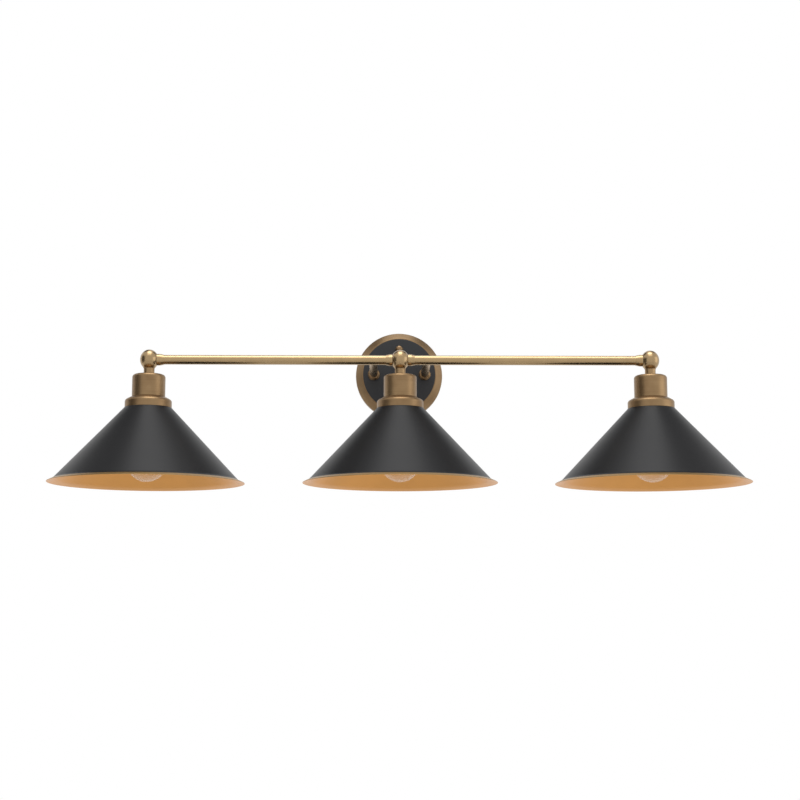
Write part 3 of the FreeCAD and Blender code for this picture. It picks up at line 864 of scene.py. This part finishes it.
class SCONCE_OT_sockets(bpy.types.Operator):
    """Models the porcelain sockets and the ribbed rings that hold the shades"""

    bl_idname = "sconce.sockets"
    bl_label = "Sockets and shade rings"

    def execute(self, context):
        sizes = context.scene.sconce_sizes
        colours = context.scene.sconce_colours
        white = glazed("socket_porcelain", colours.porcelain)
        black = moulded("ring_moulding", colours.moulding, 0.42)
        for head in HEADS:
            body = head + "_head"
            pivot = PIVOTS[body]
            radius, top, bottom = reach(head + "_socket_body", pivot, DOWN)
            bore = reach(head + "_socket_shell", pivot, DOWN)[0]
            socket = turned(head + "_socket_porcelain", rounded([
                (0.0, top),
                (radius, top, sizes.sheet),
                (radius, bottom, sizes.sheet),
                (bore, bottom, sizes.edge),
                (bore, bottom - sizes.socket_depth),
                (0.0, bottom - sizes.socket_depth),
            ]), pivot, DOWN, TUBE_SIDES)
            fit(socket, body, head + "_socket_body", "glazed_porcelain", white)
            self.ring(head, body, pivot, sizes, radius, black)
        return {"FINISHED"}

    def ring(self, head, body, pivot, sizes, bore, finish):
        """A flat ring with grip ribs round its side."""
        radius, top, bottom = reach(head + "_shade_ring", pivot, DOWN)
        base_radius = radius - sizes.ring_rib
        rib_top, rib_bottom = top + sizes.edge * 2, bottom - sizes.edge * 2
        ring = turned(head + "_shade_ring_moulded", rounded([
            (bore, top),
            (base_radius, top),
            (base_radius, rib_top),
            (base_radius, rib_bottom),
            (base_radius - sizes.edge, bottom),
            (bore, bottom),
        ]), pivot, DOWN, CUP_SIDES)
        for polygon in ring.data.polygons:
            centre = polygon.center - pivot
            side_face = abs(math.hypot(centre.x, centre.y) - base_radius) < sizes.edge / 2
            middle = rib_top < -centre.z < rib_bottom
            side = round(math.atan2(centre.y, centre.x) / math.tau * CUP_SIDES - 0.5)
            polygon.select = side_face and middle and side % RIB_SPACING == 0
        bpy.ops.object.mode_set(mode="EDIT")
        bpy.ops.mesh.select_mode(type="FACE")
        bpy.ops.mesh.extrude_region_shrink_fatten(
            TRANSFORM_OT_shrink_fatten={"value": sizes.ring_rib}
        )
        bpy.ops.mesh.select_mode(type="VERT")
        bpy.ops.object.mode_set(mode="OBJECT")
        fit(ring, body, head + "_shade_ring", "ring_plastic", finish)


class SCONCE_OT_bulbs(bpy.types.Operator):
    """Blows the clear bulbs and finishes their stems and screw bases"""

    bl_idname = "sconce.bulbs"
    bl_label = "Bulbs"

    def execute(self, context):
        sizes = context.scene.sconce_sizes
        colours = context.scene.sconce_colours
        glass = clear_glass("bulb_clear", colours.bulb_reflection_tint)
        metal = sheet_metal("base_sheet", colours.base_metal, 0.22)
        for head in HEADS:
            body = head + "_bulb"
            pivot = PIVOTS[head + "_head"]
            self.glass(head, body, pivot, sizes, glass)
            wire_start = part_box(head + "_bulb_stem")[1].z - sizes.stem_length
            stem = glass_and_wire(head + "_stem_glass", colours.stem_glass, colours.filament, wire_start)
            repaint(head + "_bulb_stem", stem)
            repaint(head + "_bulb_base", metal)
        return {"FINISHED"}

    def glass(self, head, body, pivot, sizes, finish):
        """A round globe that narrows through a hollow curve into the neck."""
        radius, top, tip = reach(head + "_bulb_glass", pivot, DOWN)
        base = reach(head + "_bulb_base", pivot, DOWN)[2]
        neck = reach(head + "_bulb_base", pivot, DOWN)[0] - 2 * sizes.edge
        centre = tip - radius
        waist = sizes.bulb_waist
        drop = math.sqrt((waist + radius) ** 2 - (neck + waist) ** 2)
        lean = math.atan2(drop, neck + waist)
        line = [Vector((neck, top)), Vector((neck, (top + base) / 2))]
        line += arc((neck + waist, centre - drop), waist, math.pi, math.pi - lean, steps=12)
        line += arc((0, centre), radius, -lean, math.pi / 2, steps=30)[1:]
        line[-1].x = 0
        inner = beside(line, sizes.bulb_wall)
        inner[-1] = Vector((0, tip - sizes.bulb_wall))
        piece = turned(head + "_bulb_clear", line + inner[::-1], pivot, DOWN)
        fit(piece, body, head + "_bulb_glass", "clear_glass", finish)


class SCONCE_OT_hidden(bpy.types.Operator):
    """Finishes the pieces inside the canopy, bar and heads, which keep their own solids"""

    bl_idname = "sconce.hidden"
    bl_label = "Inner pieces"

    def execute(self, context):
        colours = context.scene.sconce_colours
        zinc = sheet_metal("zinc_plate", colours.zinc, 0.30)
        green = sheet_metal("green_plate", colours.earth_green, 0.30)
        sleeve = moulded("lead_sleeving", colours.moulding, 0.50)
        connector = moulded("connector_moulding", colours.connector, 0.38)
        brass = brass_polished("inner_brass", colours.polished_brass)
        shell = sheet_metal("socket_sheet", colours.base_metal, 0.25)
        for node in ("crossbar", "canopy_studs", "arm_nuts"):
            repaint(node, zinc)
        repaint("ground_screw", green)
        repaint("wire_connectors", connector)
        repaint("pivot_nipples", brass)
        for head in HEADS:
            repaint(head + "_lamp_leads", sleeve)
            repaint(head + "_socket_leads", sleeve)
            repaint(head + "_lock_nut", zinc)
            repaint(head + "_socket_contact", brass)
            repaint(head + "_socket_shell", shell)
        return {"FINISHED"}


class SCONCE_OT_stage(bpy.types.Operator):
    """Sets up the camera, the lamps, the white surroundings and the floor"""

    bl_idname = "sconce.stage"
    bl_label = "Stage"

    def execute(self, context):
        stage = context.scene.sconce_stage
        context.scene.view_settings.view_transform = "Standard"
        self.camera(context, stage)
        self.lamp("top_lamp", stage.top_power, place=(0, -0.5, 4.2), target=(0, -0.15, 0), size=(2.5, 1.9))
        self.lamp("front_lamp", stage.front_power, place=(0, -1.8, 3.1), target=(0, -0.1, 0), size=(2.6, 1.6))
        self.lamp(
            "side_lamp", stage.side_power, place=(2.6, -0.6, 0.3), target=(0.3, -0.14, 0), size=(1.8, 1.8)
        )
        self.surroundings(context, stage)
        self.floor(stage)
        self.card("side_card", place=(-2.4, -0.75, 0.2), target=(0, -0.75, 0.2), size=2.2, grey=0.10)
        self.card("left_flag", place=(-1.35, 1.45, 2.3), target=(0, -0.14, -0.1), size=1.5, grey=0.06)
        self.card("right_flag", place=(1.35, 1.45, 2.3), target=(0, -0.14, -0.1), size=1.3, grey=0.12)
        return {"FINISHED"}

    def camera(self, context, stage):
        """A level camera below the shades that looks slightly up."""
        data = bpy.data.cameras.new("camera")
        data.lens = stage.lens
        data.sensor_width = 36
        camera = bpy.data.objects.new("camera", data)
        camera.location = stage.camera_place
        camera.rotation_euler = (math.pi / 2 + stage.camera_pitch, 0, -stage.camera_yaw)
        context.scene.collection.objects.link(camera)
        context.scene.camera = camera

    def lamp(self, name, power, place, target, size):
        """A soft rectangular lamp that faces a point."""
        data = bpy.data.lights.new(name, "AREA")
        data.shape = "RECTANGLE"
        data.size, data.size_y = size
        data.energy = power
        lamp = bpy.data.objects.new(name, data)
        lamp.location = place
        lamp.rotation_euler = (Vector(target) - Vector(place)).to_track_quat("-Z", "Y").to_euler()
        bpy.context.scene.collection.objects.link(lamp)

    def surroundings(self, context, stage):
        """White to the camera, through glass and in reflections, and dimmer as light on matt surfaces."""
        sky = Nodes(bpy.data.worlds.new("studio"))
        white = (1, 1, 1, 1)
        even = sky.node("ShaderNodeBackground", {}, {"Color": white, "Strength": stage.even_light})
        full = sky.node("ShaderNodeBackground", {}, {"Color": white, "Strength": 1.0})
        seen = sky.rays("Is Camera Ray", "Is Transmission Ray", "Is Glossy Ray")
        mixed = sky.node("ShaderNodeMixShader", {}, {0: seen, 1: even, 2: full})
        sky.node("ShaderNodeOutputWorld", {}, {"Surface": mixed})
        context.scene.world = sky.owner

    def matt(self, paint, grey, spread):
        """A matt grey that is lighter and darker in soft patches."""
        patches = paint.noise(9)
        return paint.node("ShaderNodeBsdfPrincipled", {}, {
            "Base Color": paint.blend(patches, [grey * (1 - spread)] * 3, [grey * (1 + spread)] * 3),
            "Roughness": patches * 0.1 + 0.8,
        })

    def floor(self, stage):
        """A pale floor well below the sconce."""
        bpy.ops.object.select_all(action="DESELECT")
        bpy.ops.mesh.primitive_plane_add(size=5, location=(0, -1.2, -stage.floor_drop))
        floor = bpy.context.object
        floor.name = "floor"
        paint = Paint("floor_paint")
        floor.data.materials.append(paint.close(self.matt(paint, stage.floor_grey, spread=0.025)))

    def card(self, name, place, target, size, grey):
        """A grey card that faces a point and darkens that side of the brass. The camera sees through it."""
        bpy.ops.object.select_all(action="DESELECT")
        turn = (Vector(target) - Vector(place)).to_track_quat("Z", "Y").to_euler()
        bpy.ops.mesh.primitive_plane_add(size=size, location=place, rotation=turn)
        card = bpy.context.object
        card.name = name
        paint = Paint(name + "_paint")
        card.data.materials.append(paint.close(paint.node("ShaderNodeMixShader", {}, {
            0: paint.rays("Is Camera Ray", "Is Transmission Ray"),
            1: self.matt(paint, grey, spread=0.08),
            2: paint.node("ShaderNodeBsdfTransparent"),
        })))


class SCONCE_PT_panel(bpy.types.Panel):
    """Lists the steps in order, then the sizes, colours and stage settings"""

    bl_idname = "SCONCE_PT_panel"
    bl_label = "Wall sconce"
    bl_space_type = "VIEW_3D"
    bl_region_type = "UI"
    bl_category = "Sconce"

    def draw(self, context):
        for step in STEPS:
            self.layout.operator(step.bl_idname)
        scene = context.scene
        for group in (scene.sconce_sizes, scene.sconce_colours, scene.sconce_stage):
            for name in type(group).__annotations__:
                self.layout.prop(group, name)


STEPS = (
    SCONCE_OT_stage,
    SCONCE_OT_canopy,
    SCONCE_OT_bar,
    SCONCE_OT_heads,
    SCONCE_OT_shades,
    SCONCE_OT_sockets,
    SCONCE_OT_bulbs,
    SCONCE_OT_hidden,
)
CLASSES = (SconceSizes, SconceColours, SconceStage, *STEPS, SCONCE_PT_panel)


def register():
    """Registers the classes and gives the scene its three groups of settings."""
    for made in CLASSES:
        bpy.utils.register_class(made)
    bpy.types.Scene.sconce_sizes = bpy.props.PointerProperty(type=SconceSizes)
    bpy.types.Scene.sconce_colours = bpy.props.PointerProperty(type=SconceColours)
    bpy.types.Scene.sconce_stage = bpy.props.PointerProperty(type=SconceStage)


def unregister():
    """Takes back what register did."""
    del bpy.types.Scene.sconce_stage
    del bpy.types.Scene.sconce_colours
    del bpy.types.Scene.sconce_sizes
    for made in reversed(CLASSES):
        bpy.utils.unregister_class(made)


def main():
    register()
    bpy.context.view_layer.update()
    bpy.ops.sconce.stage()
    bpy.ops.sconce.canopy()
    bpy.ops.sconce.bar()
    bpy.ops.sconce.heads()
    bpy.ops.sconce.shades()
    bpy.ops.sconce.sockets()
    bpy.ops.sconce.bulbs()
    bpy.ops.sconce.hidden()


if __name__ == "__main__":
    main()
